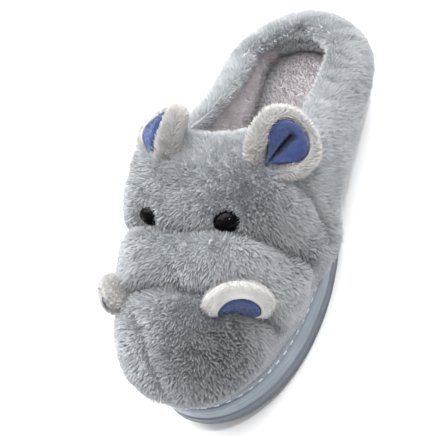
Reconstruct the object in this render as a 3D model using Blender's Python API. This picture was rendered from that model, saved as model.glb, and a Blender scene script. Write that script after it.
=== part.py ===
"""Plush hippopotamus slipper for the left foot: a backless-style house shoe with a padded heel band.

Metres, +Z up, toe towards -Y, the wearer's outer side towards +X.
The origin is on the floor under the centre of the heel seat.
The loops around the shoe start at the heel, run along the outer side to the toe and come
back along the inner side. A station is a share of the sole's length from the heel end.
"""

import math
from collections import namedtuple

import bmesh
import bpy
import numpy as np
from mathutils import Matrix, Vector
from mathutils.bvhtree import BVHTree

# Sole: overall plan, thickness and rise
SOLE_LENGTH = 0.265
BALL_WIDTH = 0.104
HEEL_WIDTH = 0.072
HEEL_THICKNESS = 0.027
BALL_THICKNESS = 0.020
TOE_SPRING = 0.012
ARCH_RISE = 0.004
TOE_ROUND = 0.092
TOE_SWING = 0.006
LIP_HEIGHT = 0.004
LIP_WIDTH = 0.0045
BASIN_DEPTH = 0.008

# Tread
TREAD_DEPTH = 0.002
TREAD_SLOT = 0.004
TREAD_PITCH = 0.012
TREAD_BORDER = 0.009

# Upper: crown of the last under the plush, the padding and the openings
CROWN_HEIGHT = 0.103
COLLAR_HEIGHT = 0.046
COLLAR_LEAN = 0.006
COLLAR_PADDING = 0.009
WAIST_LEAN = 0.005
WAIST_PADDING = 0.002
SIDE_FULLNESS = 0.005
SIDE_RISE = 0.046
SIDE_SQUARENESS = 0.95
COLLAR_WALL = 0.012
VAMP_WALL = 0.009
FOOT_EDGE_WALL = 0.005
THROAT_HALF_WIDTH = 0.036
THROAT_DEPTH = 0.016
BROW_SWELL = 0.008
MUZZLE_SWELL = 0.005
SNOUT_SWELL = 0.006

# Insole
INSOLE_THICKNESS = 0.009
INSOLE_CROWN = 0.0015

# Face
EAR_WIDTH = 0.040
EAR_HEIGHT = 0.035
NOSTRIL_WIDTH = 0.036
NOSTRIL_HEIGHT = 0.021
LEAF_PILE = 0.005
LEAF_RIM = 0.002
LINING_THICKNESS = 0.0018
LEAF_ROOT_FOLD = 1.35  # how sharply a leaf is folded at its root and tip, against its middle
LEAF_TIP_FOLD = 0.75
EYE_WIDTH = 0.0165
EYE_HEIGHT = 0.0130
EYE_DEPTH = 0.014

# Fits and fineness
GAP = 0.0003
SEWN_GAP = 0.0008
HALF_COLUMNS = 38
OUTER_ROWS = 22
INNER_ROWS = 8
ROLL_ROWS = 5

# Where things lie along the shoe, as stations
THROAT_STATION = 0.540
SIDE_SEAM_START = 0.44
SIDE_SEAM_END = 0.60

SoleRow = namedtuple("SoleRow", "station outer inner")
SOLE_PLAN = (  # half widths as shares of the local half width
    SoleRow(0.00, 1.00, 1.00),
    SoleRow(0.14, 1.00, 1.00),
    SoleRow(0.28, 0.95, 0.97),
    SoleRow(0.42, 0.87, 0.90),
    SoleRow(0.56, 0.88, 0.93),
    SoleRow(0.69, 0.90, 0.98),
    SoleRow(0.84, 0.91, 1.01),
    SoleRow(1.00, 0.92, 1.00),
)

WallRow = namedtuple("WallRow", "height inset")
SOLE_SIDE = (  # height as a share from floor to step, inset as a share of the lip's width
    WallRow(0.00, 0.90),
    WallRow(0.07, 0.30),
    WallRow(0.16, 0.00),
    WallRow(0.42, 0.00),
    WallRow(0.47, 0.22),
    WallRow(0.54, 0.22),
    WallRow(0.59, 0.00),
    WallRow(0.92, 0.00),
    WallRow(1.00, 0.18),
)

CrownRow = namedtuple("CrownRow", "station height")
CROWN = (  # height of the padded last over the floor, as a share of the crown height
    CrownRow(0.40, 0.97),
    CrownRow(0.54, 0.97),
    CrownRow(0.64, 0.96),
    CrownRow(0.74, 0.91),
    CrownRow(0.84, 0.84),
    CrownRow(0.93, 0.75),
    CrownRow(1.00, 0.66),
)

CollarRow = namedtuple("CollarRow", "station outer inner")
COLLAR = (  # height of the heel band, as a share of the collar height
    CollarRow(0.00, 1.00, 1.00),
    CollarRow(0.12, 1.04, 1.08),
    CollarRow(0.28, 1.20, 1.30),
    CollarRow(0.42, 1.55, 1.64),
    CollarRow(0.54, 2.00, 2.00),
    CollarRow(1.00, 2.10, 2.10),
)

Crease = namedtuple("Crease", "station sweep")
BACK_CREASE = Crease(0.480, 0.0)
MUZZLE_CREASE = Crease(0.722, 0.040)  # the sweep takes it heelwards down the sides
SNOUT_CREASE = Crease(0.832, 0.0)
TOE_END = Crease(1.060, 0.0)

Lump = namedtuple("Lump", "start end swell")
LUMPS = (  # stuffed bulges of the face between its creases
    Lump(BACK_CREASE, MUZZLE_CREASE, BROW_SWELL),
    Lump(MUZZLE_CREASE, SNOUT_CREASE, MUZZLE_SWELL),
    Lump(SNOUT_CREASE, TOE_END, SNOUT_SWELL),
)

Leaf = namedtuple("Leaf", "width height fold sink")
EAR = Leaf(EAR_WIDTH, EAR_HEIGHT, 1.15, 0.006)
NOSTRIL = Leaf(NOSTRIL_WIDTH, NOSTRIL_HEIGHT, 1.05, 0.005)

Seat = namedtuple("Seat", "name leaf station across axis facing")
SEATS = (  # across is a share of the half width, axis runs root to tip, facing is the lined side
    Seat("ear_outer", EAR, 0.575, 0.80, (0.59, 0.79, 0.15), (0.60, -0.55, 0.55)),
    Seat("ear_inner", EAR, 0.570, -0.58, (0.02, 0.94, 0.20), (-0.52, -0.10, 0.80)),
    Seat("nostril_outer", NOSTRIL, 0.836, 0.72, (0.55, 0.09, 0.83), (0.30, -0.90, -0.10)),
    Seat("nostril_inner", NOSTRIL, 0.832, -0.86, (-0.72, 0.09, 0.66), (-0.30, -0.90, -0.10)),
)
EYE_STATION = 0.700
EYE_ACROSS = 0.48

PLUSH = ("plush grey", (0.48, 0.51, 0.53), 0.95)
PALE_PLUSH = ("plush pale grey", (0.66, 0.66, 0.66), 0.95)
FLEECE = ("fleece mauve grey", (0.45, 0.42, 0.43), 0.95)
BLUE_FELT = ("felt blue", (0.06, 0.10, 0.38), 0.9)
SOLE_FOAM = ("moulded foam slate", (0.25, 0.29, 0.35), 0.6)
BLACK_PLASTIC = ("gloss plastic black", (0.01, 0.01, 0.012), 0.08)


def smooth(share):
    """Eases from 0 to 1."""
    t = np.clip(share, 0.0, 1.0)
    return t * t * (3 - 2 * t)


def mix(a, b, share):
    return a + (b - a) * share


def curve_through(rows, column, at):
    """A column's values at these stations, on one smooth curve through the table's rows."""
    xs = np.array([row[0] for row in rows])
    ys = np.array([getattr(row, column) for row in rows])
    slopes = np.gradient(ys, xs)
    at = np.clip(at, xs[0], xs[-1])
    k = np.clip(np.searchsorted(xs, at, side="right") - 1, 0, len(xs) - 2)
    h = xs[k + 1] - xs[k]
    t = (at - xs[k]) / h
    ends = ys[k] * (1 + 2 * t) * (1 - t) ** 2 + ys[k + 1] * t * t * (3 - 2 * t)
    turns = slopes[k] * t * (1 - t) ** 2 + slopes[k + 1] * t * t * (t - 1)
    return ends + h * turns


def y_of(station):
    return HEEL_WIDTH / 2 - station * SOLE_LENGTH


def station_of(y):
    return (HEEL_WIDTH / 2 - y) / SOLE_LENGTH


def rounding(distance, reach, power):
    """Share of the full width left at this distance from a rounded end."""
    d = np.clip(distance / reach, 0.0, 1.0)
    return (1 - (1 - d) ** power) ** (1 / power)


def centre_x(station):
    """The centre line swings inwards at the toe, as a left foot does."""
    return -TOE_SWING * smooth((station - 0.45) / 0.55)


def half_width(station, side):
    local = mix(HEEL_WIDTH, BALL_WIDTH, smooth((station - 0.20) / 0.48)) / 2
    shares = curve_through(SOLE_PLAN, side, station)
    heel = rounding(station * SOLE_LENGTH, HEEL_WIDTH / 2, 2.0)
    toe = rounding((1 - station) * SOLE_LENGTH, TOE_ROUND, 2.15)
    return local * shares * heel * toe


def bottom_z(station):
    arch = ARCH_RISE * smooth((station - 0.27) / 0.10) * smooth((0.54 - station) / 0.10)
    spring = TOE_SPRING * np.clip((station - 0.77) / 0.23, 0, 1) ** 2
    return arch + spring


def step_z(station):
    """Top of the sole's side, where the lip steps in."""
    thickness = mix(HEEL_THICKNESS, BALL_THICKNESS, smooth((station - 0.25) / 0.40))
    spring = TOE_SPRING * np.clip((station - 0.77) / 0.23, 0, 1) ** 2
    return thickness + spring


def lip_z(station):
    return step_z(station) + LIP_HEIGHT


def basin_z(station):
    return lip_z(station) - BASIN_DEPTH


HALF_STATIONS = (1 - np.cos(np.pi * np.arange(HALF_COLUMNS + 1) / HALF_COLUMNS)) / 2
STATIONS = np.concatenate([HALF_STATIONS, HALF_STATIONS[-2:0:-1]])
SIDES = np.concatenate([np.ones(HALF_COLUMNS + 1), -np.ones(HALF_COLUMNS - 1)])
COLUMNS = len(STATIONS)


def sole_edge():
    """The sole's outline in plan, one point for each column."""
    outer, inner = half_width(STATIONS, "outer"), half_width(STATIONS, "inner")
    x = centre_x(STATIONS) + np.where(SIDES > 0, outer, -inner)
    return np.stack([x, y_of(STATIONS)], axis=1)


def outward(plan):
    """Unit normals of a closed plan loop, pointing out."""
    run = np.roll(plan, -1, axis=0) - np.roll(plan, 1, axis=0)
    normal = np.stack([-run[:, 1], run[:, 0]], axis=1)
    return normal / np.linalg.norm(normal, axis=1, keepdims=True)


SOLE_EDGE = sole_edge()
EDGE_NORMAL = outward(SOLE_EDGE)


def ring(inset, z):
    """A closed ring of points, inset from the sole's outline, at the height of each column."""
    plan = SOLE_EDGE - EDGE_NORMAL * np.reshape(inset, (-1, 1))
    return np.column_stack([plan, np.broadcast_to(z, COLUMNS)])


def add_object(name, bm, material):
    mesh = bpy.data.meshes.new(name)
    bmesh.ops.recalc_face_normals(bm, faces=bm.faces)
    bm.to_mesh(mesh)
    bm.free()
    obj = bpy.data.objects.new(name, mesh)
    bpy.context.scene.collection.objects.link(obj)
    title, colour, roughness = material
    finish = bpy.data.materials.get(title) or bpy.data.materials.new(title)
    finish.use_nodes = True
    shader = finish.node_tree.nodes["Principled BSDF"]
    shader.inputs["Base Color"].default_value = (*colour, 1.0)
    shader.inputs["Roughness"].default_value = roughness
    mesh.materials.append(finish)
    mesh.shade_smooth()
    mesh.set_sharp_from_angle(angle=math.radians(50))
    return obj


def hide_as_helper(obj):
    obj.hide_render = True
    obj.display_type = "WIRE"


def skin(rings, closed_round, caps):
    """A mesh over a stack of equal rings. caps joins each end ring's two sides straight across."""
    bm = bmesh.new()
    rows = [[bm.verts.new(point) for point in row] for row in rings]
    count = len(rows[0])
    pairs = list(zip(rows, rows[1:] + rows[:1])) if closed_round else list(zip(rows, rows[1:]))
    for low, high in pairs:
        for i in range(count):
            j = (i + 1) % count
            bm.faces.new((low[i], low[j], high[j]))
            bm.faces.new((low[i], high[j], high[i]))
    if caps:
        for row in (rows[0], rows[-1]):
            cap_across(bm, row)
    return bm


def cap_across(bm, row):
    """Closes a ring with strips from each column of the outer side to its partner inside."""
    half = len(row) // 2
    for k in range(half):
        corners = [row[k], row[k + 1], row[-(k + 1) % len(row)], row[-k % len(row)]]
        unique = list(dict.fromkeys(corners))
        if len(unique) > 2:
            bm.faces.new(unique)


def cut(target, cutter):
    tool = target.modifiers.new("cut by " + cutter.name, "BOOLEAN")
    tool.operation = "DIFFERENCE"
    tool.object = cutter


def make_sole():
    """The moulded unit: bevelled foot, ribbed side, a step, and a lip that holds the upper."""
    floor, step = bottom_z(STATIONS), step_z(STATIONS)
    rings = [
        ring(row.inset * LIP_WIDTH, mix(floor, step, row.height)) for row in SOLE_SIDE
    ]
    lip_out = 0.35 * LIP_WIDTH
    rings += [
        ring(lip_out, step + 0.15 * LIP_HEIGHT),
        ring(lip_out + 0.10 * LIP_WIDTH, step + 0.80 * LIP_HEIGHT),
        ring(lip_out + 0.25 * LIP_WIDTH, step + LIP_HEIGHT),
        ring(LIP_WIDTH, step + LIP_HEIGHT),
        ring(LIP_WIDTH, basin_z(STATIONS)),
    ]
    sole = add_object("sole", skin(rings, closed_round=False, caps=True), SOLE_FOAM)
    cut(sole, make_tread_cutter())


def make_tread_cutter():
    """Slots across the heel and the forefoot, clear of a border all round and of the origin."""
    bm = bmesh.new()
    for first, last in ((0.05, 0.26), (0.55, 0.76)):
        middle = y_of((first + last) / 2)
        count = int((last - first) * SOLE_LENGTH / TREAD_PITCH)
        for k in range(count):
            y = middle + (k - (count - 1) / 2) * TREAD_PITCH
            if abs(y) < TREAD_SLOT:
                continue
            s = station_of(y)
            right = centre_x(s) + half_width(s, "outer") - TREAD_BORDER
            left = centre_x(s) - half_width(s, "inner") + TREAD_BORDER
            size = Matrix.Diagonal((right - left, TREAD_SLOT, 2 * TREAD_DEPTH, 1))
            place = Matrix.Translation(((left + right) / 2, y, 0))
            bmesh.ops.create_cube(bm, size=1, matrix=place @ size)
    cutter = add_object("tread_cutter", bm, SOLE_FOAM)
    hide_as_helper(cutter)
    return cutter


def evenly(points, count):
    """Resamples a polyline to so many points at equal spacing."""
    steps = np.linalg.norm(np.diff(points, axis=0), axis=1)
    run = np.concatenate([[0], np.cumsum(steps)])
    at = np.linspace(0, run[-1], count)
    return np.stack([np.interp(at, run, points[:, axis]) for axis in range(3)], axis=1)


def waist_share():
    """How much of the waist's extra fullness each column has, most of it on the outer side."""
    along = smooth(STATIONS / 0.20) * smooth((0.60 - STATIONS) / 0.20)
    return along * np.where(SIDES > 0, 1.0, 0.4)


def band_column(i, fine):
    """The heel band's outer face at one column, from basin to collar."""
    s = STATIONS[i]
    base = SOLE_EDGE[i] - EDGE_NORMAL[i] * (LIP_WIDTH + GAP)
    top = COLLAR_HEIGHT * curve_through(COLLAR, "outer" if SIDES[i] > 0 else "inner", s)
    t = np.linspace(0, 1, fine)
    lean = (COLLAR_LEAN + WAIST_LEAN * waist_share()[i]) * smooth(t)
    plan = base + EDGE_NORMAL[i] * lean[:, None]
    z = mix(lip_z(s), top, t)
    return np.column_stack([plan, z])


def throat_point(i):
    """Where this column ends on the throat's arc, in plan."""
    turn = (1 - smooth((STATIONS[i] - SIDE_SEAM_START) / (1 - SIDE_SEAM_START))) * math.pi / 2
    x = centre_x(THROAT_STATION) + SIDES[i] * THROAT_HALF_WIDTH * math.sin(turn)
    return np.array([x, y_of(THROAT_STATION) + THROAT_DEPTH * (1 - math.cos(turn))])


def vamp_column(i, fine):
    """The head's outer face at one column, from basin over the crown to the throat."""
    base = SOLE_EDGE[i] - EDGE_NORMAL[i] * (LIP_WIDTH + GAP)
    end = throat_point(i)
    length = np.linalg.norm(end - base)
    rise = min(SIDE_RISE, 0.85 * length)
    turn = np.linspace(0, math.pi / 2, fine)
    inward = rise * (1 - np.cos(turn) ** SIDE_SQUARENESS)
    height = np.sin(turn) ** SIDE_SQUARENESS
    inward = np.concatenate([inward, np.linspace(rise, length, fine)[1:]])
    height = np.concatenate([height, np.ones(fine - 1)])
    plan = base + (end - base) * (inward / length)[:, None]
    crown = CROWN_HEIGHT * curve_through(CROWN, "height", station_of(plan[:, 1]))
    z = mix(lip_z(STATIONS[i]), crown, height)
    return np.column_stack([plan, z])


def last_surface():
    """The smooth padded last: columns by rows of points, without bulges or creases."""
    weight = smooth((STATIONS - SIDE_SEAM_START) / (SIDE_SEAM_END - SIDE_SEAM_START))
    columns = []
    for i in range(COLUMNS):
        band = evenly(band_column(i, 60), OUTER_ROWS)
        vamp = evenly(vamp_column(i, 60), OUTER_ROWS)
        columns.append(mix(band, vamp, weight[i]))
    return np.array(columns)


def surface_normals(grid):
    """Unit normals of a grid of columns, pointing out of the shoe."""
    round_way = np.roll(grid, -1, axis=0) - np.roll(grid, 1, axis=0)
    up_way = np.gradient(grid, axis=1)
    normals = np.cross(up_way, round_way)
    normals /= np.linalg.norm(normals, axis=2, keepdims=True)
    return normals


def swell_of(grid):
    """How far the stuffing pushes each point out of the last."""
    up = np.linspace(0, 1, grid.shape[1])[None, :]
    front = smooth((STATIONS - SIDE_SEAM_START) / (SIDE_SEAM_END - SIDE_SEAM_START))[:, None]
    reach = (grid[:, :, 0] - centre_x(STATIONS)[:, None]) / (BALL_WIDTH / 2)
    s = station_of(grid[:, :, 1])
    swell = np.zeros(grid.shape[:2])
    for lump in LUMPS:
        start = lump.start.station - lump.start.sweep * reach**2
        end = lump.end.station - lump.end.sweep * reach**2
        share = np.clip((s - start) / (end - start), 0, 1)
        swell += lump.swell * (1 - (2 * share - 1) ** 2) ** 0.7
    side = np.sin(math.pi * np.clip(up * 2.6, 0, 1)) * SIDE_FULLNESS
    padding = COLLAR_PADDING + WAIST_PADDING * waist_share()[:, None]
    band = np.sin(math.pi * up**0.7) * padding
    return mix(band, swell * smooth(up * 9) + side, front)


def wall_of(rows):
    """Wall thickness at each column and row, thin where it is stitched to the sole."""
    up = np.linspace(0, 1, rows)[None, :]
    front = smooth((STATIONS - SIDE_SEAM_START) / (SIDE_SEAM_END - SIDE_SEAM_START))[:, None]
    full = mix(COLLAR_WALL, VAMP_WALL, front)
    return mix(FOOT_EDGE_WALL, full, smooth(up * 3))


def upper_faces():
    """Outer and inner faces of the upper, as columns by rows of points, with the last's normals."""
    last = last_surface()
    normals = surface_normals(last)
    outer = last + normals * swell_of(last)[:, :, None]
    inner = last - normals * wall_of(OUTER_ROWS)[:, :, None]
    keep = np.unique(np.linspace(0, OUTER_ROWS - 1, INNER_ROWS).round().astype(int))
    return outer, inner[:, keep], normals


def roll_rows(outer, inner, growth):
    """Rows of the rounded edge at the top, from the outer face over to the inner."""
    along = outer[:, -1] - outer[:, -2]
    along /= np.linalg.norm(along, axis=1, keepdims=True)
    middle = (outer[:, -1] + inner[:, -1]) / 2
    arm = (outer[:, -1] - inner[:, -1]) / 2
    radius = np.linalg.norm(arm, axis=1, keepdims=True)
    arm, radius = arm * (1 + growth / radius), radius + growth
    turns = math.pi * (np.arange(ROLL_ROWS) + 1) / (ROLL_ROWS + 1)
    return [middle + arm * math.cos(turn) + along * radius * math.sin(turn) for turn in turns]


def make_upper():
    """One hollow wall: heel band and head, open at the collar and underneath."""
    outer, inner, _ = upper_faces()
    foot_out = ring(LIP_WIDTH + GAP, basin_z(STATIONS) + GAP)
    foot_in = ring(LIP_WIDTH + GAP + FOOT_EDGE_WALL, basin_z(STATIONS) + GAP)
    roll = roll_rows(outer, inner, 0.0)
    rows = [foot_out, *np.swapaxes(outer, 0, 1), *roll, *np.swapaxes(inner, 0, 1)[::-1], foot_in]
    return add_object("upper", skin(rows, closed_round=True, caps=False), PLUSH)


def make_envelope():
    """The upper's outer form a little larger and filled in, which trims what is sewn on it."""
    outer, inner, normals = upper_faces()
    grown = outer + normals * SEWN_GAP
    foot = ring(LIP_WIDTH, basin_z(STATIONS))
    rows = [foot, *np.swapaxes(grown, 0, 1), *roll_rows(outer, inner, SEWN_GAP)]
    envelope = add_object("upper_envelope", skin(rows, closed_round=False, caps=True), PLUSH)
    hide_as_helper(envelope)
    return envelope


def make_insole():
    """A padded footbed in the basin, inside the upper's wall."""
    edge = LIP_WIDTH + FOOT_EDGE_WALL + 2 * GAP
    floor = basin_z(STATIONS) + GAP
    rings = [
        ring(edge, floor),
        ring(edge, floor + 0.6 * INSOLE_THICKNESS),
        ring(edge + 0.0015, floor + 0.9 * INSOLE_THICKNESS),
        ring(edge + 0.005, floor + INSOLE_THICKNESS),
        ring(edge + 0.014, floor + INSOLE_THICKNESS + INSOLE_CROWN),
    ]
    return add_object("insole", skin(rings, closed_round=False, caps=True), FLEECE)


def leaf_edge(leaf, turn):
    """Half outline of an ear: wide and round above, drawn in at its root."""
    x = math.sin(turn) * leaf.width / 2 * (1 - 0.42 * math.cos(turn / 2) ** 4)
    z = leaf.height * (1 - math.cos(turn)) / 2
    return x, z


def leaf_point(leaf, turn, share, off):
    """A point of the folded leaf: its flat place, bent forward about its long axis, moved off by its thickness."""
    x, z = leaf_edge(leaf, turn)
    x, z = x * share, mix(leaf.height / 2, z, share)
    height = z / leaf.height
    bend = leaf.fold * mix(LEAF_ROOT_FOLD, LEAF_TIP_FOLD, height) / (leaf.width / 2)
    angle = bend * x
    flat = Vector((math.sin(angle) / bend, -(1 - math.cos(angle)) / bend, z))
    normal = Vector((math.sin(angle), math.cos(angle), 0))
    return flat + normal * off


def leaf_solid(leaf, front, back, turns=20):
    """A closed leaf. front and back list (share of the outline, offset) rings, centre first."""
    bm = bmesh.new()
    rings = []
    for share, off in [*front, *reversed(back)]:
        if share == 0:
            rings.append([bm.verts.new(leaf_point(leaf, 0, 0, off))])
            continue
        rings.append(
            [bm.verts.new(leaf_point(leaf, 2 * math.pi * k / turns, share, off)) for k in range(turns)]
        )
    for low, high in zip(rings, rings[1:]):
        for k in range(turns):
            j = (k + 1) % turns
            face = [low[k % len(low)], low[j % len(low)], high[j % len(high)], high[k % len(high)]]
            bm.faces.new(list(dict.fromkeys(face)))
    return bm


def on_upper(tree, station, across):
    """Where a vertical line meets the top of the upper, with the outward normal there."""
    side = "outer" if across > 0 else "inner"
    x = centre_x(station) + across * half_width(station, side)
    spot, normal, _, _ = tree.ray_cast(Vector((x, y_of(station), 1.0)), Vector((0, 0, -1)))
    return spot, normal


def seat_matrix(seat, tree):
    """Places a leaf with its root sunk in the surface, along its axis and facing its side."""
    spot, normal = on_upper(tree, seat.station, seat.across)
    z = Vector(seat.axis).normalized()
    x = z.cross(Vector(seat.facing)).normalized()
    y = z.cross(x)
    turn = Matrix((x, y, z)).transposed().to_4x4()
    return Matrix.Translation(spot - z * seat.leaf.sink) @ turn


def make_leaves(tree, envelope):
    """Ears and nostrils: each a plush leaf, folded about its long axis, with a lined hollow."""
    hollow = (0, 0.22, 0.44, 0.64, 0.80)
    shell_front = [*((share, 0.0) for share in hollow), (0.85, 0.0)]
    shell_front += [(0.88, -LEAF_RIM), (0.95, -LEAF_RIM)]
    shell_back = [(0, LEAF_PILE), (0.5, LEAF_PILE), (0.88, LEAF_PILE), (1.0, LEAF_PILE * 0.4)]
    lining_front = [(share, -GAP - LINING_THICKNESS) for share in hollow]
    lining_back = [(share, -GAP) for share in hollow]
    for seat in SEATS:
        place = seat_matrix(seat, tree)
        for word, front, back, material in (
            ("", shell_front, shell_back, PALE_PLUSH),
            ("_lining", lining_front, lining_back, BLUE_FELT),
        ):
            bm = leaf_solid(seat.leaf, front, back)
            bm.transform(place)
            cut(add_object(seat.name + word, bm, material), envelope)


def make_eyes(tree, envelope):
    for side, word in ((-1, "inner"), (1, "outer")):
        bm = bmesh.new()
        bmesh.ops.create_uvsphere(bm, u_segments=18, v_segments=10, radius=0.5)
        spot, normal = on_upper(tree, EYE_STATION, side * EYE_ACROSS)
        face = normal.to_track_quat("Z", "Y").to_matrix().to_4x4()
        size = Matrix.Diagonal((EYE_WIDTH, EYE_HEIGHT, EYE_DEPTH, 1))
        bm.transform(Matrix.Translation(spot) @ face @ size)
        cut(add_object("eye_" + word, bm, BLACK_PLASTIC), envelope)


def build():
    for obj in list(bpy.data.objects):
        bpy.data.objects.remove(obj)
    make_sole()
    upper = make_upper()
    make_insole()
    envelope = make_envelope()
    tree = BVHTree.FromObject(upper, bpy.context.evaluated_depsgraph_get())
    make_leaves(tree, envelope)
    make_eyes(tree, envelope)


build()
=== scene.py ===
"""Looks of the plush hippopotamus slipper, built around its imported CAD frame.

Metres, +Z up, toe towards -Y, the wearer's outer side towards +X. A station is a share of the
sole's length from the heel, and a turn is an angle around the foot: 0 on the inner side,
90 degrees on top, 180 on the outer side.
"""

import math
from collections import namedtuple

import bmesh
import bpy
import numpy as np
from mathutils import Matrix, Vector
from mathutils.bvhtree import BVHTree


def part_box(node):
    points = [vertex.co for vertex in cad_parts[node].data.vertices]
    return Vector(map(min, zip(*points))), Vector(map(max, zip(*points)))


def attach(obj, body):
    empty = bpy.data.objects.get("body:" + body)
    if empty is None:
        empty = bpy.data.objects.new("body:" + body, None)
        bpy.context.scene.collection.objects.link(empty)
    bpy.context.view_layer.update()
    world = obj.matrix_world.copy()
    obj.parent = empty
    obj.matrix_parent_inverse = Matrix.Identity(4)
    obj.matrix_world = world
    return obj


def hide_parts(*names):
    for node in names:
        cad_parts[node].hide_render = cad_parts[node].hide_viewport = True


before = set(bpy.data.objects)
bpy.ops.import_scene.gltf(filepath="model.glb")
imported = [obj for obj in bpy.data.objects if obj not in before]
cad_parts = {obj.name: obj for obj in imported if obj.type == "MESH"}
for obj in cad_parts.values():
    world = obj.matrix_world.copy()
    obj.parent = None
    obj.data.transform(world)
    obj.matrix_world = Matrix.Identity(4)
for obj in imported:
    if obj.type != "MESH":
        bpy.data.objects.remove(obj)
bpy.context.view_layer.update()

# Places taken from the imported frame
SOLE_LOW, SOLE_HIGH = (Vector(corner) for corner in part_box("sole"))
HEEL_END = SOLE_HIGH.y
SOLE_LENGTH = SOLE_HIGH.y - SOLE_LOW.y
HALF_WIDTH = (SOLE_HIGH.x - SOLE_LOW.x) / 2
TOE_SWING = 0.006  # how far the centre line moves to the inner side at the toe
FOOT_AXIS_HEIGHT = 0.040  # height of the line that turns are measured around

# Sole, as in the part's source
SOLE_HEEL = 0.027  # thickness up to the step below the lip
SOLE_BALL = 0.020
TOE_SPRING = 0.012
TOE_ROLL = 0.23  # share of the length over which the toe curls up
LIP_HEIGHT = 0.004
SIDE_LINES = 4

# Stitches that hold the plush to the lip
STITCH_PITCH = 0.0070
STITCH_LENGTH = 0.0030
STITCH_RADIUS = 0.00055

# Pile: a dense undercoat over the cloth, with tufts of separate hairs on it
UNDERCOAT = 0.0032
PLUSH_PILE = 0.0040
EAR_UNDERCOAT = 0.0012
EAR_PILE = 0.0035
FLEECE_PILE = 0.0026
FELT_PILE = 0.0012
TUFT_GAP = 0.00086  # between neighbouring tufts of plush
EYE_CLEARING = 0.0052  # radius of the flattened fur around an eye

# Creases and seams sewn into the head
CREASE_DEPTH = 0.0042
CREASE_REACH = 0.0040
SEAM_DEPTH = 0.0022
SEAM_REACH = 0.0035


def station_y(station):
    return HEEL_END - station * SOLE_LENGTH


def station_of(y):
    return (HEEL_END - y) / SOLE_LENGTH


def smooth(share):
    t = np.clip(share, 0.0, 1.0)
    return t * t * (3 - 2 * t)


def centre_x(station):
    return -TOE_SWING * smooth((station - 0.45) / 0.55)


# Materials


def linear(hex_colour):
    """An sRGB colour such as 9AA3A9, as the linear values that Blender mixes."""
    parts = [int(hex_colour[k : k + 2], 16) / 255 for k in (0, 2, 4)]
    return tuple(c / 12.92 if c <= 0.04045 else ((c + 0.055) / 1.055) ** 2.4 for c in parts) + (1.0,)


def add_node(tree, kind, settings=None, **inputs):
    """Adds a node. Inputs are values or other nodes' output sockets, named in lower case."""
    node = tree.nodes.new(kind)
    for name, value in (settings or {}).items():
        setattr(node, name, value)
    for name, value in inputs.items():
        wanted = name.replace("_", " ")
        socket = next(s for s in node.inputs if s.enabled and s.name.lower() == wanted)
        if isinstance(value, bpy.types.NodeSocket):
            tree.links.new(value, socket)
        else:
            socket.default_value = value
    return node


def new_finish(name, roughness, **shader_values):
    finish = bpy.data.materials.new(name)
    finish.use_nodes = True
    tree = finish.node_tree
    shader = tree.nodes["Principled BSDF"]
    shader.inputs["Roughness"].default_value = roughness
    for key, value in shader_values.items():
        socket = next(s for s in shader.inputs if s.name.lower() == key.replace("_", " "))
        socket.default_value = value
    return finish, tree, shader


def object_place(tree):
    return tree.nodes.new("ShaderNodeTexCoord").outputs["Object"]


def attribute(tree, name):
    node = add_node(tree, "ShaderNodeAttribute", {"attribute_name": name})
    return node.outputs["Fac"]


def blend_colours(tree, share, a, b):
    node = add_node(tree, "ShaderNodeMix", {"data_type": "RGBA"})
    for socket, value in ((node.inputs[0], share), (node.inputs[6], a), (node.inputs[7], b)):
        if isinstance(value, bpy.types.NodeSocket):
            tree.links.new(value, socket)
        else:
            socket.default_value = value
    return node.outputs[2]


def spread(tree, value, low, high, new_low=0.0, new_high=1.0):
    node = add_node(tree, "ShaderNodeMapRange", {"interpolation_type": "SMOOTHSTEP"})
    for socket, entry in zip(node.inputs, (value, low, high, new_low, new_high)):
        if isinstance(entry, bpy.types.NodeSocket):
            tree.links.new(entry, socket)
        else:
            socket.default_value = entry
    return node.outputs[0]


def noise_of(tree, scale, detail=2.0, roughness=0.5):
    place = object_place(tree)
    node = add_node(
        tree, "ShaderNodeTexNoise", vector=place, scale=scale, detail=detail, roughness=roughness
    )
    return node.outputs[0]


def bump_of(tree, height, strength, distance):
    node = add_node(
        tree, "ShaderNodeBump", height=height, strength=strength, distance=distance
    )
    return node.outputs[0]


def maths(tree, operation, a, b=0.0):
    node = add_node(tree, "ShaderNodeMath", {"operation": operation})
    for socket, value in zip(node.inputs, (a, b)):
        if isinstance(value, bpy.types.NodeSocket):
            tree.links.new(value, socket)
        else:
            socket.default_value = value
    return node.outputs[0]


def pile_finish(name, root, tip, shadow, patch_scale=55.0):
    """Hairs: dark at the root, pale at the tip, with tufts and patches of different tone, and painted shade
    where the deep attribute marks folds and partings.
    """
    finish, tree, shader = new_finish(name, 0.95, specular_ior_level=0.15)
    strand = blend_colours(tree, spread(tree, attribute(tree, "along"), 0.0, 0.9), linear(root), linear(tip))
    patch = spread(tree, noise_of(tree, patch_scale, 3.0), 0.35, 0.7)
    toned = blend_colours(tree, patch, strand, linear(tip))
    tuft = spread(tree, attribute(tree, "tint"), 0.0, 1.0, 0.0, 0.55)
    shaded = blend_colours(tree, tuft, toned, strand)
    # Painted shade: the deep attribute darkens the hairs towards the shadow colour, most near the root.
    near_root = spread(tree, attribute(tree, "along"), 0.1, 1.0, 1.0, 0.45)
    sunk = maths(tree, "MULTIPLY", attribute(tree, "deep"), near_root)
    deep = blend_colours(tree, sunk, shaded, linear(shadow))
    tree.links.new(deep, shader.inputs["Base Color"])
    return finish


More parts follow.
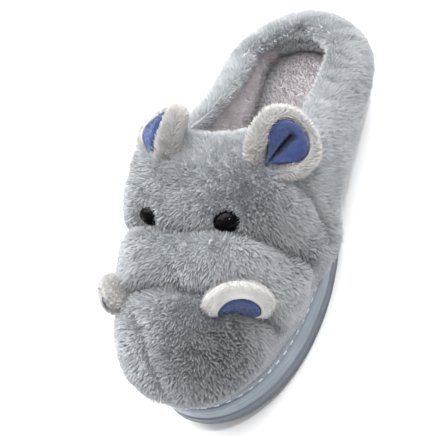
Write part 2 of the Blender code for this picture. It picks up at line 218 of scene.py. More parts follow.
def cloth_finish(name, low, high, scale, bump_scale, bump_height, fold="303336"):
    """Short brushed cloth: two tones in soft patches over a fine nap, with painted shade in the fold colour
    where the deep attribute marks folds and partings.
    """
    finish, tree, shader = new_finish(name, 0.9, sheen_weight=0.3, sheen_roughness=0.5)
    patches = spread(tree, noise_of(tree, scale, 4.0, 0.6), 0.3, 0.7)
    nap = noise_of(tree, bump_scale, 3.0, 0.7)
    colour = blend_colours(tree, patches, linear(low), linear(high))
    fleck = blend_colours(tree, spread(tree, nap, 0.45, 0.75, 0.0, 0.6), colour, linear(high))
    # Painted shade: the cloth darkens to the fold colour where the deep attribute is high.
    shaded = blend_colours(tree, attribute(tree, "deep"), fleck, linear(fold))
    tree.links.new(shaded, shader.inputs["Base Color"])
    tree.links.new(bump_of(tree, nap, 0.9, bump_height), shader.inputs["Normal"])
    return finish


def height_on_sole(tree):
    """A place's height as a share of the sole's thickness, which falls towards the ball."""
    place = add_node(tree, "ShaderNodeSeparateXYZ", vector=object_place(tree)).outputs
    station = maths(tree, "DIVIDE", maths(tree, "SUBTRACT", HEEL_END, place["Y"]), SOLE_LENGTH)
    thickness = spread(tree, station, 0.25, 0.65, SOLE_HEEL, SOLE_BALL)
    past = maths(tree, "MAXIMUM", maths(tree, "SUBTRACT", station, 1 - TOE_ROLL), 0.0)
    curl = maths(tree, "MULTIPLY", maths(tree, "POWER", past, 2.0), TOE_SPRING / TOE_ROLL**2)
    return maths(tree, "DIVIDE", maths(tree, "SUBTRACT", place["Z"], curl), thickness)


def foam_finish():
    """Moulded sole foam: slate, dusty, with fine parting lines along its side; painted shade darkens it
    towards the bottom and in the lines.
    """
    finish, tree, shader = new_finish("slate moulded foam", 0.55)
    height = height_on_sole(tree)
    wave = maths(tree, "SINE", maths(tree, "MULTIPLY", height, 2 * math.pi * SIDE_LINES))
    lines = spread(tree, wave, 0.75, 1.0)
    cloud = spread(tree, noise_of(tree, 22.0, 4.0), 0.3, 0.7)
    foam = blend_colours(tree, cloud, linear("6A727C"), linear("777F89"))
    # Painted shade: the foam darkens towards the bottom of the sole.
    low = blend_colours(tree, spread(tree, height, 0.10, 0.75, 0.95, 0.0), foam, linear("3E444D"))
    # Painted shade in the grooves of the side lines, which the bump also presses in.
    lined = blend_colours(tree, maths(tree, "MULTIPLY", lines, 0.30), low, linear("444B55"))
    tree.links.new(lined, shader.inputs["Base Color"])
    wear = spread(tree, noise_of(tree, 120.0, 3.0), 0.3, 0.8, 0.45, 0.68)
    tree.links.new(wear, shader.inputs["Roughness"])
    relief = maths(tree, "SUBTRACT", maths(tree, "MULTIPLY", noise_of(tree, 900.0), 0.3), lines)
    tree.links.new(bump_of(tree, relief, 0.5, 0.0004), shader.inputs["Normal"])
    return finish


def eye_finish():
    """Polished black plastic with the faintest haze."""
    finish, tree, shader = new_finish("polished black plastic", 0.1, specular_ior_level=0.05)
    haze = spread(tree, noise_of(tree, 260.0, 3.0), 0.4, 0.8, 0.08, 0.14)
    colour = blend_colours(tree, noise_of(tree, 180.0), linear("020202"), linear("060608"))
    tree.links.new(haze, shader.inputs["Roughness"])
    tree.links.new(colour, shader.inputs["Base Color"])
    return finish


# The third colour of each pile finish, and the last colour of the blue felt, is painted shade for folds and
# partings.
GREY_PLUSH = pile_finish("grey plush pile", "94989B", "BBBEC1", "4A4E52")
PALE_PLUSH = pile_finish("pale ear pile", "A2A1A0", "C4C2C0", "6A6A6A")
LINING_PLUSH = pile_finish("mauve lining pile", "A19B9E", "C9C3C6", "6A6669")
FOOTBED_PLUSH = pile_finish("mauve footbed pile", "858083", "ADA8AB", "545053")
BLUE_PLUSH = pile_finish("blue felt pile", "1F3059", "34497D", "05070F")
GREY_CLOTH = cloth_finish("grey plush backing", "72777B", "8E9397", 60.0, 1500.0, 0.0006)
PALE_CLOTH = cloth_finish("pale plush backing", "949492", "A8A7A5", 60.0, 1500.0, 0.0006)
LINING_FLEECE = cloth_finish("mauve lining fleece", "A19B9E", "BDB7BA", 90.0, 1800.0, 0.0008)
FOOTBED_FLEECE = cloth_finish("mauve footbed fleece", "777275", "8F8A8D", 90.0, 1800.0, 0.0008)
BLUE_FELT = cloth_finish("blue felt", "1C2D58", "2B3F70", 160.0, 2200.0, 0.0005, "05070F")
FOAM = foam_finish()
BLACK_GLOSS = eye_finish()
FLOOR = cloth_finish("pale studio floor", "EDEDED", "F2F2F2", 3.0, 40.0, 0.0)


def thread_finish():
    finish, tree, shader = new_finish("pale thread", 0.7)
    twist = noise_of(tree, 2500.0)
    colour = blend_colours(tree, twist, linear("A9AFB4"), linear("C9CED2"))
    tree.links.new(colour, shader.inputs["Base Color"])
    return finish


THREAD = thread_finish()


# Meshes


def new_piece(name, mesh, finish, replaced=()):
    """Registers a finished mesh as a piece of the shoe."""
    piece = bpy.data.objects.new(name, mesh)
    bpy.context.scene.collection.objects.link(piece)
    mesh.materials.clear()
    mesh.materials.append(finish)
    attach(piece, "root")
    if replaced:
        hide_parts(*replaced)
    return piece


def cad_form(node, levels):
    """A smooth copy of a CAD node's form: its triangles merged to quads, then subdivided."""
    bm = bmesh.new()
    bm.from_mesh(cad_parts[node].data)
    bmesh.ops.remove_doubles(bm, verts=bm.verts, dist=0.00002)
    bmesh.ops.join_triangles(
        bm, faces=bm.faces, angle_face_threshold=math.pi, angle_shape_threshold=math.pi
    )
    mesh = bpy.data.meshes.new(node + " form")
    bm.to_mesh(mesh)
    bm.free()
    return subdivided(mesh, levels)


def subdivided(mesh, levels):
    holder = bpy.data.objects.new("holder", mesh)
    bpy.context.scene.collection.objects.link(holder)
    smoothing = holder.modifiers.new("smooth", "SUBSURF")
    smoothing.levels = smoothing.render_levels = levels
    return applied(holder)


def applied(holder):
    """The evaluated mesh of a helper object, which is then removed."""
    graph = bpy.context.evaluated_depsgraph_get()
    mesh = bpy.data.meshes.new_from_object(holder.evaluated_get(graph))
    bpy.data.objects.remove(holder)
    return mesh


def tree_of(mesh):
    return BVHTree.FromPolygons(
        [v.co for v in mesh.vertices], [tuple(p.vertices) for p in mesh.polygons]
    )


def points_of(mesh):
    values = np.empty(len(mesh.vertices) * 3)
    mesh.vertices.foreach_get("co", values)
    return values.reshape(-1, 3)


def normals_of(mesh):
    values = np.empty(len(mesh.vertices) * 3)
    mesh.vertex_normals.foreach_get("vector", values)
    return values.reshape(-1, 3)


def put_points(mesh, points):
    mesh.vertices.foreach_set("co", points.ravel())
    mesh.update()


def store(mesh, name, values):
    """Stores a number or a vector for each vertex."""
    values = np.asarray(values, dtype=np.float32)
    kind, field = ("FLOAT_VECTOR", "vector") if values.ndim == 2 else ("FLOAT", "value")
    old = mesh.attributes.get(name)
    if old:
        mesh.attributes.remove(old)
    layer = mesh.attributes.new(name, kind, "POINT")
    layer.data.foreach_set(field, values.ravel())


def part_of(mesh, wanted, name):
    """A new mesh of the faces whose vertices are all wanted."""
    bm = bmesh.new()
    bm.from_mesh(mesh)
    bm.verts.ensure_lookup_table()
    lost = [face for face in bm.faces if not all(wanted[v.index] for v in face.verts)]
    bmesh.ops.delete(bm, geom=lost, context="FACES")
    result = bpy.data.meshes.new(name)
    bm.to_mesh(result)
    bm.free()
    return result


def distance_to_line(points, line):
    """Each point's distance to a polyline."""
    line = np.asarray(line)
    best = np.full(len(points), np.inf)
    for a, b in zip(line[:-1], line[1:]):
        run = b - a
        share = np.clip((points - a) @ run / (run @ run), 0, 1)
        best = np.minimum(best, np.linalg.norm(points - a - share[:, None] * run, axis=1))
    return best


# Upper: creases and seams are drawn on it by station and turn

Spot = namedtuple("Spot", "station turn")
Fold = namedtuple("Fold", "name depth reach spots")


def around(station, sweep, first, last, count=15):
    """A fold across the foot, which the sweep takes heelwards down its sides."""
    turns = np.linspace(first, last, count)
    return [Spot(station - sweep * math.cos(math.radians(t)) ** 2, t) for t in turns]


FOLDS = (
    Fold("brow over muzzle", CREASE_DEPTH, CREASE_REACH, around(0.722, 0.045, 12, 168)),
    Fold("muzzle over snout", CREASE_DEPTH, CREASE_REACH, around(0.832, 0.0, 12, 168)),
    Fold("outer cheek seam", SEAM_DEPTH, SEAM_REACH,
         (Spot(0.597, 126), Spot(0.585, 136), Spot(0.577, 147), Spot(0.584, 158), Spot(0.610, 172))),
    Fold("inner cheek seam", SEAM_DEPTH, SEAM_REACH,
         (Spot(0.597, 54), Spot(0.585, 44), Spot(0.577, 33), Spot(0.584, 22), Spot(0.610, 8))),
    Fold("toe dart", SEAM_DEPTH, SEAM_REACH,
         (Spot(0.885, 64), Spot(0.916, 73), Spot(0.944, 77), Spot(0.977, 82), Spot(0.996, 84))),
)


def on_surface(tree, spot):
    """The point of the upper that a spot names, found by looking in from outside."""
    y = station_y(spot.station)
    turn = math.radians(spot.turn)
    centre = Vector((centre_x(spot.station), y, FOOT_AXIS_HEIGHT))
    away = Vector((-math.cos(turn), 0, math.sin(turn)))
    hit = tree.ray_cast(centre + away * 0.3, -away)
    return np.array(hit[0])


def inner_side(points, normals):
    """True where a vertex faces the foot, judged from a line through the middle of the shoe."""
    y = np.clip(points[:, 1], station_y(0.85), station_y(0.14))
    middle = np.column_stack([centre_x(station_of(y)), y, np.full(len(y), 0.052)])
    return np.einsum("ij,ij->i", points - middle, normals) < 0


def tangent(directions, normals, keep_length=False):
    """Directions laid flat on a surface."""
    flat = directions - normals * np.einsum("ij,ij->i", directions, normals)[:, None]
    if keep_length:
        return flat
    return flat / np.maximum(np.linalg.norm(flat, axis=1, keepdims=True), 1e-6)


def soft_waves(points, wavelength, seed):
    """Smooth pseudo-random values between -1 and 1, of about this wavelength."""
    rng = np.random.default_rng(seed)
    total = np.zeros(len(points))
    for _ in range(7):
        direction = rng.normal(size=3)
        direction *= 2 * math.pi / wavelength / np.linalg.norm(direction)
        total += np.sin(points @ direction + rng.uniform(0, 2 * math.pi))
    return total / 7


def dressed_upper():
    """The upper's form with its folds pressed in, and how deep in a fold each vertex lies."""
    mesh = cad_form("upper", 2)
    points, normals = points_of(mesh), normals_of(mesh)
    tree = tree_of(mesh)
    outer = ~inner_side(points, normals)
    sunk = np.zeros(len(points))
    deep = np.zeros(len(points))
    for fold in FOLDS:
        line = [on_surface(tree, spot) for spot in fold.spots]
        closeness = np.exp(-((distance_to_line(points, line) / fold.reach) ** 2))
        sunk = np.maximum(sunk, closeness * fold.depth)
        deep = np.maximum(deep, closeness * fold.depth / CREASE_DEPTH)
    ripple = 0.0005 * soft_waves(points, 0.028, 4) + 0.0003 * soft_waves(points, 0.012, 9)
    points = points + normals * np.where(outer, ripple - sunk, 0.0)[:, None]
    put_points(mesh, points)
    return mesh, outer, np.where(outer, deep, 0.0)


UPPER, OUTER, DEEP = dressed_upper()
UPPER_POINTS, UPPER_NORMALS = points_of(UPPER), normals_of(UPPER)
STATION = station_of(UPPER_POINTS[:, 1])


def collar_drop():
    """How far below the collar's crest each vertex lies, on its own side and station."""
    outer_side = UPPER_POINTS[:, 0] > centre_x(STATION)
    bins = np.linspace(0, 0.6, 31)
    drop = np.zeros(len(STATION))
    for side in (outer_side, ~outer_side):
        crest = [
            UPPER_POINTS[side & (abs(STATION - b) < 0.015), 2].max(initial=0.05) for b in bins
        ]
        drop[side] = np.interp(STATION[side], bins, crest) - UPPER_POINTS[side, 2]
    return drop


DROP = collar_drop()
TURNED_IN = 0.007 + 0.029 * smooth((0.10 - STATION) / 0.06)  # how deep the plush reaches inside
PLUSH_AREA = OUTER | (DROP < TURNED_IN) & (STATION < 0.56)


def near_eyes():
    """Distance from each vertex to the nearer eye's middle."""
    gaps = []
    for name in ("eye_inner", "eye_outer"):
        low, high = (np.array(corner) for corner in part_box(name))
        gaps.append(np.linalg.norm(UPPER_POINTS - (low + high) / 2, axis=1))
    return np.minimum(*gaps)


def pile_growth():
    """How long the pile grows: shorter in folds, round the eyes, inside and at the sole."""
    growth = 1 - 0.30 * DEEP
    growth *= 0.45 + 0.55 * smooth((near_eyes() - EYE_CLEARING) / 0.005)
    growth *= np.where(OUTER, 1.0, 0.35 + 0.60 * smooth(1 - DROP / TURNED_IN))
    above_sole = UPPER_POINTS[:, 2] - SOLE_HIGH.z
    front = smooth((STATION - 0.58) / 0.14)
    return growth * (1 - 0.62 * front * smooth(1.3 - above_sole / 0.012))


def head_nap():
    """How the hairs lean: down the face to the toe, and over the collar down the heel band."""
    side = UPPER_POINTS[:, 0] - centre_x(STATION)
    front = smooth((STATION - 0.50) / 0.14)[:, None]
    muzzle = smooth((STATION - 0.68) / 0.08)[:, None]
    face = np.column_stack([9 * side, np.full(len(side), -0.8), np.full(len(side), -0.5)])
    outwards = np.column_stack([side, np.clip(UPPER_POINTS[:, 1], 0, None), side * 0])
    outwards /= np.maximum(np.linalg.norm(outwards, axis=1, keepdims=True), 1e-6)
    band = outwards * 0.7 + np.array([0.0, 0.25, -0.7])
    snout = smooth((STATION - 0.83) / 0.03)[:, None]
    lean = band * 0.50 * (1 - front) + face * (0.20 + 0.32 * muzzle - 0.36 * snout) * front
    lean *= np.where(OUTER, 1.0, 0.1)[:, None]
    broad = np.column_stack([soft_waves(UPPER_POINTS, 0.034, k) for k in (11, 12, 13)])
    close = np.column_stack([soft_waves(UPPER_POINTS, 0.011, k) for k in (14, 15, 16)])
    return tangent(lean + 0.32 * broad + 0.24 * close, UPPER_NORMALS, keep_length=True)


Parting = namedtuple("Parting", "station turn radius share")
PARTINGS = (  # where the pile stands open, painted shade darkens its roots
    Parting(0.925, 125, 0.030, 0.60),
    Parting(0.668, 118, 0.024, 0.35),
)


def painted_parting_shade():
    """Painted shade at the roots: most where the pile parts on the snout and beside the eye."""
    tree = tree_of(UPPER)
    dark = np.zeros(len(UPPER_POINTS))
    for parting in PARTINGS:
        centre = on_surface(tree, Spot(parting.station, parting.turn))
        gap = np.linalg.norm(UPPER_POINTS - centre, axis=1)
        dark = np.maximum(dark, parting.share * smooth(1.3 - gap / parting.radius))
    return dark * np.where(OUTER, 1.0, 0.0)


GROWTH = pile_growth()
store(UPPER, "nap", head_nap())
# The deep attribute carries painted shade: in the folds and seams, and where the pile parts.
store(UPPER, "deep", np.maximum(DEEP * 0.8, painted_parting_shade()))
store(UPPER, "growth", GROWTH)


def raise_undercoat():
    """Lifts the plush side of the upper to the top of its dense undercoat, in soft tussocks."""
    edge = smooth((UPPER_POINTS[:, 2] - FOOT_EDGE) / 0.004)
    tussock = 1 + 0.22 * soft_waves(UPPER_POINTS, 0.009, 21) + 0.22 * soft_waves(UPPER_POINTS, 0.005, 22)
    lift = UNDERCOAT * GROWTH * tussock * edge
    inner_fade = np.where(OUTER, 1.0, smooth((TURNED_IN - DROP) / 0.004))
    return UPPER_POINTS + UPPER_NORMALS * (lift * inner_fade)[:, None]


FOOT_EDGE = min(UPPER_POINTS[:, 2])
PLAIN_UPPER = UPPER.copy()
put_points(UPPER, raise_undercoat())


# Pile: tufts of hairs by Geometry Nodes

Tuft = namedtuple("Tuft", "name hairs spread gather width bend")
PLUSH_TUFT = Tuft("plush tuft", 12, 0.16, 0.70, 0.050, 0.10)
SHORT_TUFT = Tuft("short tuft", 7, 0.34, 0.60, 0.11, 0.22)


def tuft_object(tuft):
    """A tuft of straight spikes, about one unit long, whose tips gather and bend towards +X."""
    rng = np.random.default_rng(len(tuft.name))
    bm = bmesh.new()
    along = bm.verts.layers.float.new("along")
    for k in range(tuft.hairs):
        turn = k * math.pi * (3 - math.sqrt(5))
        reach = tuft.spread * math.sqrt((k + 0.5) / tuft.hairs)
        root = Vector((math.cos(turn), math.sin(turn), 0)) * reach
        tip = root * tuft.gather + Vector((tuft.bend, 0, rng.uniform(0.74, 1.0)))
        face = rng.uniform(0, math.pi)
        across = Vector((math.cos(face), math.sin(face), 0)) * tuft.width / 2
        verts = [bm.verts.new(corner) for corner in (root - across, root + across, tip)]
        verts[2][along] = 1.0
        bm.faces.new(verts)
    mesh = bpy.data.meshes.new(tuft.name)
    bm.to_mesh(mesh)
    bm.free()
    return bpy.data.objects.new(tuft.name, mesh)


def group_input(tree, name, kind, value=None):
    socket = tree.interface.new_socket(name, in_out="INPUT", socket_type=kind)
    if value is not None:
        socket.default_value = value
    return socket


def pile_tree():
    """Scatters tufts over a cloth that carries nap, growth and deep attributes."""
    tree = bpy.data.node_groups.new("pile", "GeometryNodeTree")
    group_input(tree, "Cloth", "NodeSocketGeometry")
    group_input(tree, "Tuft", "NodeSocketObject")
    group_input(tree, "Tuft gap", "NodeSocketFloat", 0.001)
    group_input(tree, "Most per area", "NodeSocketFloat", 1e6)
    group_input(tree, "Length", "NodeSocketFloat", 0.008)
    group_input(tree, "Lean", "NodeSocketFloat", 1.0)
    group_input(tree, "Unruliness", "NodeSocketFloat", 0.4)
    group_input(tree, "Seed", "NodeSocketInt", 1)
    group_input(tree, "Finish", "NodeSocketMaterial")
    tree.interface.new_socket("Pile", in_out="OUTPUT", socket_type="NodeSocketGeometry")
    given = tree.nodes.new("NodeGroupInput").outputs

    def named(name, kind):
        node = add_node(
            tree, "GeometryNodeInputNamedAttribute", {"data_type": kind}, name=name
        )
        return node.outputs["Attribute"]

    def vector_math(operation, a, b=None, scale=None):
        node = add_node(tree, "ShaderNodeVectorMath", {"operation": operation})
        tree.links.new(a, node.inputs[0])
        if b is not None:
            tree.links.new(b, node.inputs[1])
        if scale is not None:
            tree.links.new(scale, node.inputs["Scale"])
        return node.outputs[0]

    def times(a, b):
        node = add_node(tree, "ShaderNodeMath", {"operation": "MULTIPLY"})
        tree.links.new(a, node.inputs[0])
        tree.links.new(b, node.inputs[1])
        return node.outputs[0]

    def random(kind, low, high, seed_step):
        step = add_node(tree, "ShaderNodeMath", {"operation": "ADD"})
        tree.links.new(given["Seed"], step.inputs[0])
        step.inputs[1].default_value = seed_step
        node = add_node(tree, "FunctionNodeRandomValue", {"data_type": kind}, min=low, max=high)
        tree.links.new(step.outputs[0], node.inputs["Seed"])
        return next(s for s in node.outputs if s.enabled)

    points = add_node(
        tree, "GeometryNodeDistributePointsOnFaces", {"distribute_method": "POISSON"},
        mesh=given["Cloth"], distance_min=given["Tuft gap"],
        density_max=given["Most per area"], seed=given["Seed"],
    )
    stray = random("FLOAT_VECTOR", (-1, -1, -1), (1, 1, 1), 1)
    nap = vector_math("SCALE", named("nap", "FLOAT_VECTOR"), scale=given["Lean"])
    lie = vector_math("ADD", nap, vector_math("SCALE", stray, scale=given["Unruliness"]))
    rise = vector_math("ADD", points.outputs["Normal"], lie)
    turn = add_node(
        tree, "FunctionNodeAxesToRotation", {"primary_axis": "Z", "secondary_axis": "X"},
        primary_axis=rise, secondary_axis=lie,
    )
    length = times(times(named("growth", "FLOAT"), given["Length"]), random("FLOAT", 0.8, 1.12, 2))
    tinted = add_node(
        tree, "GeometryNodeStoreNamedAttribute", {"data_type": "FLOAT", "domain": "POINT"},
        geometry=points.outputs["Points"], name="tint", value=random("FLOAT", 0.0, 1.0, 3),
    )
    tuft = add_node(tree, "GeometryNodeObjectInfo", object=given["Tuft"])
    planted = add_node(
        tree, "GeometryNodeInstanceOnPoints", points=tinted.outputs[0],
        instance=tuft.outputs["Geometry"], rotation=turn.outputs[0], scale=length,
    )
    real = add_node(tree, "GeometryNodeRealizeInstances", geometry=planted.outputs[0])
    finished = add_node(
        tree, "GeometryNodeSetMaterial", geometry=real.outputs[0], material=given["Finish"]
    )
    end = tree.nodes.new("NodeGroupOutput")
    tree.links.new(finished.outputs[0], end.inputs[0])
    return tree


PILE_TREE = pile_tree()
TUFTS = {tuft: tuft_object(tuft) for tuft in (PLUSH_TUFT, SHORT_TUFT)}


def set_input(modifier, name, value):
    items = modifier.node_group.interface.items_tree
    modifier[next(item.identifier for item in items if item.name == name)] = value


def give_bake_map(mesh, hairs):
    """Lays each tuft in its own cell of a square picture, its hairs on top of each other."""
    layer = mesh.uv_layers.new(name="OFBake")
    corners = np.arange(len(mesh.loops))
    tuft = corners // (3 * hairs)
    cells = math.ceil(math.sqrt(tuft[-1] + 1))
    u = np.array([0.15, 0.85, 0.5])[corners % 3]
    v = np.array([0.15, 0.15, 0.85])[corners % 3]
    place = np.column_stack([tuft % cells + u, tuft // cells + v]) / cells
    layer.data.foreach_set("uv", place.ravel())


def grow_pile(name, cloth, tuft, gap, length, lean, unruliness, finish, seed):
    """A piece of pile that grows on a mesh of cloth."""
    holder = bpy.data.objects.new("cloth of " + name, cloth)
    bpy.context.scene.collection.objects.link(holder)
    modifier = holder.modifiers.new("pile", "NODES")
    modifier.node_group = PILE_TREE
    values = {
        "Tuft": TUFTS[tuft], "Tuft gap": gap, "Most per area": 3 / gap**2, "Length": length,
        "Lean": lean, "Unruliness": unruliness, "Seed": seed, "Finish": finish,
    }
    for key, value in values.items():
        set_input(modifier, key, value)
    mesh = applied(holder)
    for unneeded in ("nap", "growth"):
        if mesh.attributes.get(unneeded):
            mesh.attributes.remove(mesh.attributes[unneeded])
    give_bake_map(mesh, tuft.hairs)
    return new_piece(name, mesh, finish)


# Upper: backing, lining and pile


def make_upper():
    backing = new_piece(
        "plush_undercoat", part_of(UPPER, PLUSH_AREA, "undercoat"), GREY_CLOTH, ["upper"]
    )
    lining = new_piece("fleece_lining", part_of(PLAIN_UPPER, ~OUTER, "lining"), LINING_FLEECE)
    for piece in (backing, lining):
        piece.data.shade_smooth()
    side = UPPER_POINTS[:, 0] - centre_x(STATION)
    sweep = 0.045 * np.clip(side / HALF_WIDTH, -1, 1) ** 2
    along = STATION + np.where(STATION > 0.6, sweep, 0)
    regions = {
        "heel_band_outer_pile": (STATION < 0.51) & (side > -0.003),
        "heel_band_inner_pile": (STATION < 0.51) & (side < 0.003),
        "brow_pile": (STATION > 0.50) & (along < 0.725),
        "muzzle_pile": (along > 0.718) & (along < 0.835),
        "snout_pile": along > 0.828,
    }
    for seed, (name, region) in enumerate(regions.items()):
        cloth = part_of(UPPER, region & PLUSH_AREA, name)
        grow_pile(name, cloth, PLUSH_TUFT, TUFT_GAP, PLUSH_PILE, 1.0, 0.22, GREY_PLUSH, 20 + seed)
    walls = part_of(PLAIN_UPPER, ~OUTER & (DROP > TURNED_IN) & (STATION < 0.60), "lining nap")
    store_plain_nap(walls, (0, 0.3, -1))
    grow_pile("lining_nap", walls, SHORT_TUFT, 0.0011, FLEECE_PILE, 0.7, 0.5, LINING_PLUSH, 31)


def store_plain_nap(mesh, direction):
    points, normals = points_of(mesh), normals_of(mesh)
    wander = 0.6 * np.column_stack([soft_waves(points, 0.02, k) for k in (41, 42, 43)])
    store(mesh, "nap", tangent(np.array(direction, dtype=float) + wander, normals))
    store(mesh, "growth", np.ones(len(points)))
    store(mesh, "deep", np.zeros(len(points)))


def make_insole():
    mesh = cad_form("insole", 1)
    footbed = new_piece("fleece_footbed", mesh, FOOTBED_FLEECE, ["insole"])
    footbed.data.shade_smooth()
    normals, points = normals_of(mesh), points_of(mesh)
    bare = part_of(mesh, (normals[:, 2] > 0.3) & (station_of(points[:, 1]) < 0.62), "footbed nap")
    store_plain_nap(bare, (0.2, -1, 0))
    grow_pile("footbed_nap", bare, PLUSH_TUFT, 0.0011, FLEECE_PILE, 0.3, 0.8, FOOTBED_PLUSH, 33)


# Ears and nostrils

Leaf = namedtuple("Leaf", "name axis facing pile stuffing puff pinch fold")
LEAVES = (  # stuffing swells the back, puff the lined side, and pinch narrows the lining's root
    Leaf("ear_outer", (0.59, 0.79, 0.15), (0.60, -0.55, 0.55), EAR_PILE, 0.0010, 0.0055, 0.9, 1.0),
    Leaf("ear_inner", (0.02, 0.94, 0.20), (-0.52, -0.10, 0.80), EAR_PILE, 0.0010, 0.0045, 0.7, 1.0),
    Leaf("nostril_outer", (0.55, 0.09, 0.83), (0.30, -0.90, -0.10), 0.0018, 0.0030, 0.0022, 0.0, 0.0),
    Leaf("nostril_inner", (-0.72, 0.09, 0.66), (-0.30, -0.90, -0.10), 0.0030, 0.0050, 0.0012, 0.0, 0.0),
)
FOLD_WIDTH = 0.0021


def leaf_axes(leaf):
    axis = Vector(leaf.axis).normalized()
    facing = Vector(leaf.facing)
    facing = (facing - axis * facing.dot(axis)).normalized()
    return (np.array(v) for v in (axis, facing, axis.cross(facing)))


def cushion_form(leaf):
    """The blue lining, stuffed on both sides of a sharp fold that ends before the tip, with painted shade
    marked along the fold.
    """
    mesh = cad_form(leaf.name + "_lining", 2)
    points, normals = points_of(mesh), normals_of(mesh)
    axis, facing, across = leaf_axes(leaf)
    up = points @ axis
    up = (up - up.min()) / (up.max() - up.min())
    off = points @ across
    middle = (off.max() + off.min()) / 2
    side = abs(off - middle) / (off.max() - off.min()) * 2
    fold = 1 - leaf.fold * np.exp(-(((off - middle) / FOLD_WIDTH) ** 2)) * smooth((0.86 - up) / 0.12)
    full = np.clip(1 - side**2, 0, 1) ** 0.5 * np.clip(np.sin(math.pi * (0.08 + 0.88 * up)), 0, 1) ** 0.5
    lifted = (normals @ facing > 0.0) * leaf.puff * full * fold
    drawn = -leaf.pinch * (off - middle) * smooth((0.62 - up) / 0.62)
    put_points(mesh, points + facing * lifted[:, None] + across * drawn[:, None])
    # Painted shade along the fold, which the felt finishes read as deep.
    store(mesh, "deep", 0.9 * (1 - fold))
    return mesh


def make_leaf(leaf):
    """A plush leaf with its pile, and the folded blue cushion in its hollow."""
    shell = cad_form(leaf.name, 2)
    hollow = cushion_form(leaf)
    points, normals = points_of(shell), normals_of(shell)
    axis, facing, _ = leaf_axes(leaf)
    tree = tree_of(hollow)
    near = np.array([tree.find_nearest(Vector(p))[3] for p in points])
    rim = smooth((near - 0.0006) / 0.003)
    back = leaf.stuffing * smooth(0.6 - normals @ facing) * smooth((near - 0.002) / 0.004)
    points = points + normals * (EAR_UNDERCOAT * rim + back)[:, None]
    put_points(shell, points)
    low = (points @ axis).min()
    root = points[points @ axis < low + 0.004].mean(axis=0)
    base = new_piece(leaf.name + "_undercoat", shell.copy(), PALE_CLOTH, [leaf.name])
    base.data.shade_smooth()
    comb = tangent(points - root, normals)
    stray = np.column_stack([soft_waves(points, 0.012, k) for k in (61, 62, 63)])
    store(shell, "nap", tangent(0.55 * comb + 0.35 * stray, normals, keep_length=True))
    store(shell, "growth", 0.5 + 0.5 * rim)
    store(shell, "deep", np.zeros(len(points)))
    furry = part_of(shell, near > 0.0010, leaf.name + " fur")
    grow_pile(leaf.name + "_pile", furry, PLUSH_TUFT, 0.00078, leaf.pile, 1.0, 0.25, PALE_PLUSH, 51)
    felt = hollow.copy()
    cushion = new_piece(leaf.name + "_cushion", hollow, BLUE_FELT, [leaf.name + "_lining"])
    cushion.data.shade_smooth()
    store_plain_nap(felt, (0, -0.4, 1))
    # The felt nap takes the same painted shade along the fold.
    store(felt, "deep", np.array([d.value for d in hollow.attributes["deep"].data]))
    grow_pile(leaf.name + "_felt_nap", felt, SHORT_TUFT, 0.0008, FELT_PILE, 0.8, 0.5, BLUE_PLUSH, 57)


Eye = namedtuple("Eye", "name sunk")
EYES = (Eye("eye_inner", 0.0046), Eye("eye_outer", 0.0024))  # how far each sinks into the pile


def make_eyes():
    tree = tree_of(PLAIN_UPPER)
    for eye in EYES:
        mesh = cad_form(eye.name, 2)
        points = points_of(mesh)
        outwards = tree.find_nearest(Vector(points.mean(axis=0)))[1]
        put_points(mesh, points - np.array(outwards) * eye.sunk)
        dome = new_piece(eye.name + "_dome", mesh, BLACK_GLOSS, [eye.name])
        dome.data.shade_smooth()


# Sole


def finish_sole():
    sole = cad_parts["sole"]
    for place in sole.material_slots:
        place.material = FOAM


def step_height(station):
    """Height of the step below the lip."""
    thickness = SOLE_HEEL + (SOLE_BALL - SOLE_HEEL) * smooth((station - 0.25) / 0.40)
    return thickness + TOE_SPRING * np.clip((station - 1 + TOE_ROLL) / TOE_ROLL, 0, 1) ** 2


def lip_loop(count=360):
    """Points round the outer face of the sole's lip, half way up it."""
    tree = tree_of(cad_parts["sole"].data)
    middle = Vector((centre_x(0.5), station_y(0.5), 0))
    points = []
    for k in range(count):
        turn = 2 * math.pi * k / count
        outwards = Vector((math.cos(turn), math.sin(turn), 0))
        height = SOLE_BALL
        for _ in range(3):
            hit = tree.ray_cast(middle + outwards * 0.3 + Vector((0, 0, height)), -outwards)[0]
            height = step_height(station_of(hit.y)) + LIP_HEIGHT * 0.5
        points.append(hit)
    return points


def stitch_object():
    """One stitch along X: a short round thread with blunt ends."""
    bm = bmesh.new()
    bmesh.ops.create_uvsphere(bm, u_segments=8, v_segments=6, radius=STITCH_RADIUS)
    for vert in bm.verts:
        vert.co.x += math.copysign(STITCH_LENGTH / 2 - STITCH_RADIUS, vert.co.x)
    mesh = bpy.data.meshes.new("stitch")
    bm.to_mesh(mesh)
    bm.free()
    return bpy.data.objects.new("stitch", mesh)


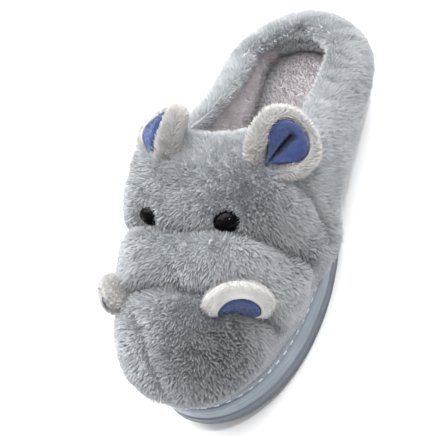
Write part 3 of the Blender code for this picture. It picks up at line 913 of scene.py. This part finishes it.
def stitching_tree():
    """Lays a stitch at every pitch along a loop of edges."""
    tree = bpy.data.node_groups.new("stitching", "GeometryNodeTree")
    group_input(tree, "Seam", "NodeSocketGeometry")
    group_input(tree, "Stitch", "NodeSocketObject")
    group_input(tree, "Pitch", "NodeSocketFloat", STITCH_PITCH)
    group_input(tree, "Finish", "NodeSocketMaterial")
    tree.interface.new_socket("Stitches", in_out="OUTPUT", socket_type="NodeSocketGeometry")
    given = tree.nodes.new("NodeGroupInput").outputs
    curve = add_node(tree, "GeometryNodeMeshToCurve", mesh=given["Seam"])
    even = add_node(
        tree, "GeometryNodeResampleCurve", {"mode": "LENGTH"},
        curve=curve.outputs[0], length=given["Pitch"],
    )
    run = add_node(tree, "GeometryNodeInputTangent")
    turn = add_node(
        tree, "FunctionNodeAxesToRotation", {"primary_axis": "X", "secondary_axis": "Z"},
        primary_axis=run.outputs[0],
    )
    shape = add_node(tree, "GeometryNodeObjectInfo", object=given["Stitch"])
    laid = add_node(
        tree, "GeometryNodeInstanceOnPoints", points=even.outputs[0],
        instance=shape.outputs["Geometry"], rotation=turn.outputs[0],
    )
    real = add_node(tree, "GeometryNodeRealizeInstances", geometry=laid.outputs[0])
    finished = add_node(
        tree, "GeometryNodeSetMaterial", geometry=real.outputs[0], material=given["Finish"]
    )
    end = tree.nodes.new("NodeGroupOutput")
    tree.links.new(finished.outputs[0], end.inputs[0])
    return tree


def make_stitches():
    bm = bmesh.new()
    verts = [bm.verts.new(point) for point in lip_loop()]
    for a, b in zip(verts, verts[1:] + verts[:1]):
        bm.edges.new((a, b))
    seam = bpy.data.meshes.new("seam")
    bm.to_mesh(seam)
    bm.free()
    holder = bpy.data.objects.new("seam", seam)
    bpy.context.scene.collection.objects.link(holder)
    modifier = holder.modifiers.new("stitching", "NODES")
    modifier.node_group = stitching_tree()
    for name, value in {"Stitch": stitch_object(), "Pitch": STITCH_PITCH, "Finish": THREAD}.items():
        set_input(modifier, name, value)
    stitches = new_piece("lip_stitches", applied(holder), THREAD)
    stitches.data.shade_smooth()


# Studio

CAMERA_AZIMUTH = 40.9
CAMERA_ELEVATION = 49.5
CAMERA_ROLL = -31.95
CAMERA_DISTANCE = 0.626
FOCAL_SHARE = 2.40  # focal length over the width of the picture
LOOKED_AT = Vector((0.0, -0.094, 0.040))
FRAMED = Vector((-0.0134, -0.1175, 0.0500))


def make_camera():
    """Stands where the photograph was taken and turns a little to frame the one shoe."""
    az, el = math.radians(CAMERA_AZIMUTH), math.radians(CAMERA_ELEVATION)
    away = Vector((math.sin(az) * math.cos(el), -math.cos(az) * math.cos(el), math.sin(el)))
    place = LOOKED_AT + away * CAMERA_DISTANCE
    level = Vector((math.cos(az), math.sin(az), 0))
    axes = Matrix((level, away.cross(level), away)).transposed()
    axes = axes @ Matrix.Rotation(math.radians(CAMERA_ROLL), 3, "Z")
    axes = away.rotation_difference(place - FRAMED).to_matrix() @ axes
    data = bpy.data.cameras.new("camera")
    data.sensor_width = 36.0
    data.lens = FOCAL_SHARE * data.sensor_width
    data.clip_start = 0.05
    camera = bpy.data.objects.new("camera", data)
    bpy.context.scene.collection.objects.link(camera)
    camera.matrix_world = Matrix.Translation(place) @ axes.to_4x4()
    bpy.context.scene.camera = camera


Lamp = namedtuple("Lamp", "name azimuth elevation distance size power")
LAMPS = (
    Lamp("key", -120, 58, 1.3, 1.4, 40),
    Lamp("back", 175, 60, 1.3, 1.4, 26),
    Lamp("glint", 62, 62, 0.9, 0.06, 3.0),
)


SOFT_BOX_WAY = (-0.45, 0.50, 0.74)  # the studio is brightest behind, above and to the left


def make_studio():
    bm = bmesh.new()
    bmesh.ops.create_grid(bm, x_segments=1, y_segments=1, size=4.0)
    mesh = bpy.data.meshes.new("floor")
    bm.to_mesh(mesh)
    bm.free()
    mesh.materials.append(FLOOR)
    floor = bpy.data.objects.new("floor", mesh)
    bpy.context.scene.collection.objects.link(floor)
    for lamp in LAMPS:
        az, el = math.radians(lamp.azimuth), math.radians(lamp.elevation)
        away = Vector((math.sin(az) * math.cos(el), -math.cos(az) * math.cos(el), math.sin(el)))
        data = bpy.data.lights.new(lamp.name, "AREA")
        data.energy = lamp.power
        data.size = lamp.size
        light = bpy.data.objects.new(lamp.name, data)
        light.location = LOOKED_AT + away * lamp.distance
        light.rotation_euler = away.to_track_quat("Z", "Y").to_euler()
        bpy.context.scene.collection.objects.link(light)
    world = bpy.data.worlds.new("studio")
    world.use_nodes = True
    tree = world.node_tree
    direction = tree.nodes.new("ShaderNodeTexCoord").outputs["Generated"]
    facing = add_node(tree, "ShaderNodeVectorMath", {"operation": "DOT_PRODUCT"})
    tree.links.new(direction, facing.inputs[0])
    facing.inputs[1].default_value = SOFT_BOX_WAY
    backdrop = tree.nodes["Background"]
    backdrop.inputs["Color"].default_value = (1.0, 1.0, 1.0, 1.0)
    tree.links.new(spread(tree, facing.outputs["Value"], -1.0, 1.0, 0.3, 1.4), backdrop.inputs["Strength"])
    bpy.context.scene.world = world
    bpy.context.scene.view_settings.view_transform = "Standard"


make_upper()
make_insole()
for leaf in LEAVES:
    make_leaf(leaf)
make_eyes()
finish_sole()
make_stitches()
make_camera()
make_studio()
